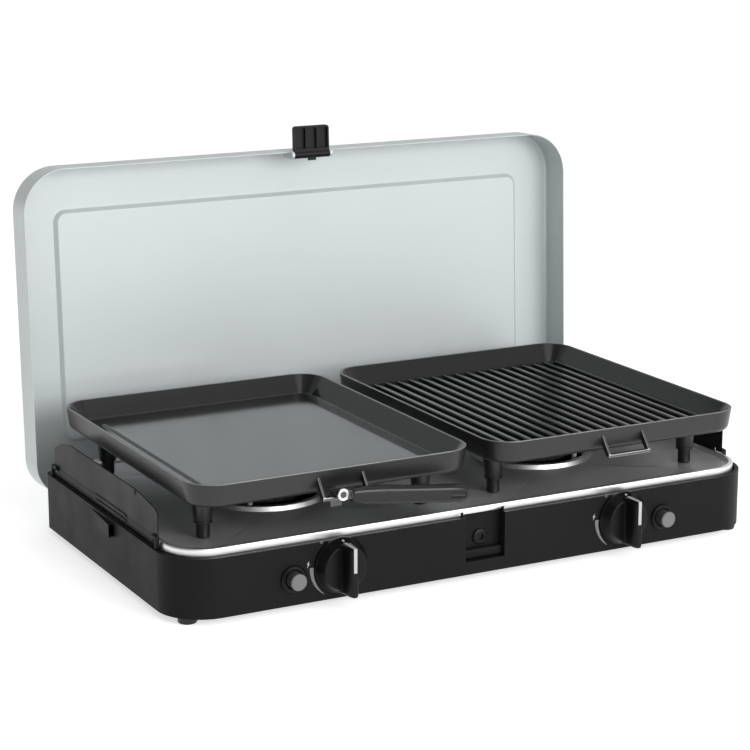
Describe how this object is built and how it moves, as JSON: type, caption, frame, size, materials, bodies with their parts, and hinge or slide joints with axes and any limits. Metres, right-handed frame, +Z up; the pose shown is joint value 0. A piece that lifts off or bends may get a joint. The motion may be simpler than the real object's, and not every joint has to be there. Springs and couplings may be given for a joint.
{
  "type": "two-burner camping stove",
  "caption": "Folding case camping stove with a hinged lid, fold-up wind shields, gas burners, a flat and a ribbed lift-off cooking plate and a clip-on plate handle.",
  "frame": {"origin": "on the ground, under the middle of the box round the whole stove with its lid open and its knobs included", "axes": "+X to the cook's right, +Y towards the back where the lid stands, +Z up"},
  "size_m": [0.604, 0.4113, 0.3653],
  "materials": {
    "painted_steel": "satin powder coat",
    "hob_steel": "polished, with light heat staining",
    "lid_paint": "semi-gloss silver-green paint",
    "plate_coating": "dark non-stick coating with bare rim edges",
    "black_plastic": "satin",
    "grip_plastic": "satin gloss",
    "grey_plastic": "matte",
    "rubber": "satin",
    "brass": "machined",
    "burner_iron": "dark, slightly rough",
    "zinc_steel": "zinc plated",
    "shield_paint": "satin black coat",
    "chrome": "bright",
    "ceramic": "unglazed white",
    "lead_sleeve": "silicone sleeve"
  },
  "bodies": {
    "base": {"base_housing": "painted_steel", "base_floor": "painted_steel", "rubber_feet": "rubber", "foot_screws": "zinc_steel", "hob_plate": "hob_steel", "burner_body_left": "burner_iron", "burner_body_right": "burner_iron", "burner_cap_left": "burner_iron", "burner_cap_right": "burner_iron", "mixing_tube_left": "zinc_steel", "mixing_tube_right": "zinc_steel", "gas_jets": "brass", "gas_manifold": "zinc_steel", "supply_pipe": "zinc_steel", "manifold_bracket": "zinc_steel", "gas_inlet": "brass", "inlet_nut": "brass", "valve_body_left": "brass", "valve_body_right": "brass", "igniter_bezel_left": "black_plastic", "igniter_bezel_right": "black_plastic", "igniter_body_left": "black_plastic", "igniter_body_right": "black_plastic", "spark_electrode_left": "ceramic", "spark_electrode_right": "ceramic", "ignition_lead_left": "lead_sleeve", "ignition_lead_right": "lead_sleeve", "catch_bar": "painted_steel", "pocket_bolt": "black_plastic", "hinge_brackets": "zinc_steel", "hinge_pins": "zinc_steel", "shield_pivots": "zinc_steel"},
    "lid": {"lid_shell": "lid_paint", "hinge_arms": "zinc_steel", "hinge_rivets": "zinc_steel", "latch_knuckles": "lid_paint", "latch_pin": "zinc_steel"},
    "clip": {"latch_clip": "black_plastic"},
    "left_shield": {"shield_left": "shield_paint"},
    "right_shield": {"shield_right": "shield_paint"},
    "left_knob": {"knob_left": "black_plastic", "valve_stem_left": "brass"},
    "right_knob": {"knob_right": "black_plastic", "valve_stem_right": "brass"},
    "left_button": {"button_left": "grey_plastic"},
    "right_button": {"button_right": "grey_plastic"},
    "griddle": {"griddle_plate": "plate_coating", "griddle_bracket": "plate_coating", "griddle_feet": "rubber"},
    "grill": {"grill_plate": "plate_coating", "grill_bracket": "plate_coating", "grill_feet": "rubber"},
    "hook": {"handle_hook": "chrome", "handle_rivet": "chrome"},
    "grip": {"handle_tang": "chrome", "handle_grip": "grip_plastic"}
  },
  "joints": [
    {"name": "lid_hinge", "type": "hinge", "parent": "base", "child": "lid", "pos_m": [0, 0.1317, 0.032], "axis": [1, 0, 0], "range_deg": [0, 25]},
    {"name": "clip_hinge", "type": "hinge", "parent": "lid", "child": "clip", "pos_m": [0, 0.16644, 0.3372], "axis": [1, 0, 0], "range_deg": [0, 90]},
    {"name": "left_shield_fold", "type": "hinge", "parent": "base", "child": "left_shield", "pos_m": [-0.2937, -0.019, 0.068], "axis": [0, 1, 0], "range_deg": [0, 85]},
    {"name": "right_shield_fold", "type": "hinge", "parent": "base", "child": "right_shield", "pos_m": [0.2937, -0.019, 0.068], "axis": [0, -1, 0], "range_deg": [0, 85]},
    {"name": "left_knob_turn", "type": "hinge", "parent": "base", "child": "left_knob", "pos_m": [-0.145, -0.1765, 0.036], "axis": [0, -1, 0], "range_deg": [0, 150]},
    {"name": "right_knob_turn", "type": "hinge", "parent": "base", "child": "right_knob", "pos_m": [0.145, -0.1765, 0.036], "axis": [0, -1, 0], "range_deg": [0, 150]},
    {"name": "left_button_press", "type": "slide", "parent": "base", "child": "left_button", "axis": [0, 1, 0], "range_m": [0, 0.005], "stiffness_N_per_m": 1500, "springref_m": -0.001},
    {"name": "right_button_press", "type": "slide", "parent": "base", "child": "right_button", "axis": [0, 1, 0], "range_m": [0, 0.005], "stiffness_N_per_m": 1500, "springref_m": -0.001},
    {"name": "griddle_lift", "type": "slide", "parent": "base", "child": "griddle", "axis": [0, -0.7071, 0.7071], "range_m": [0, 0.12]},
    {"name": "grill_lift", "type": "slide", "parent": "base", "child": "grill", "axis": [0, -0.7071, 0.7071], "range_m": [0, 0.12]},
    {"name": "hook_lift", "type": "slide", "parent": "griddle", "child": "hook", "axis": [0, 0, 1], "range_m": [0, 0.045]},
    {"name": "grip_swing", "type": "hinge", "parent": "hook", "child": "grip", "pos_m": [-0.1505, -0.1923, 0.1037], "axis": [0, -1, 0], "range_deg": [0, 90]}
  ]
}
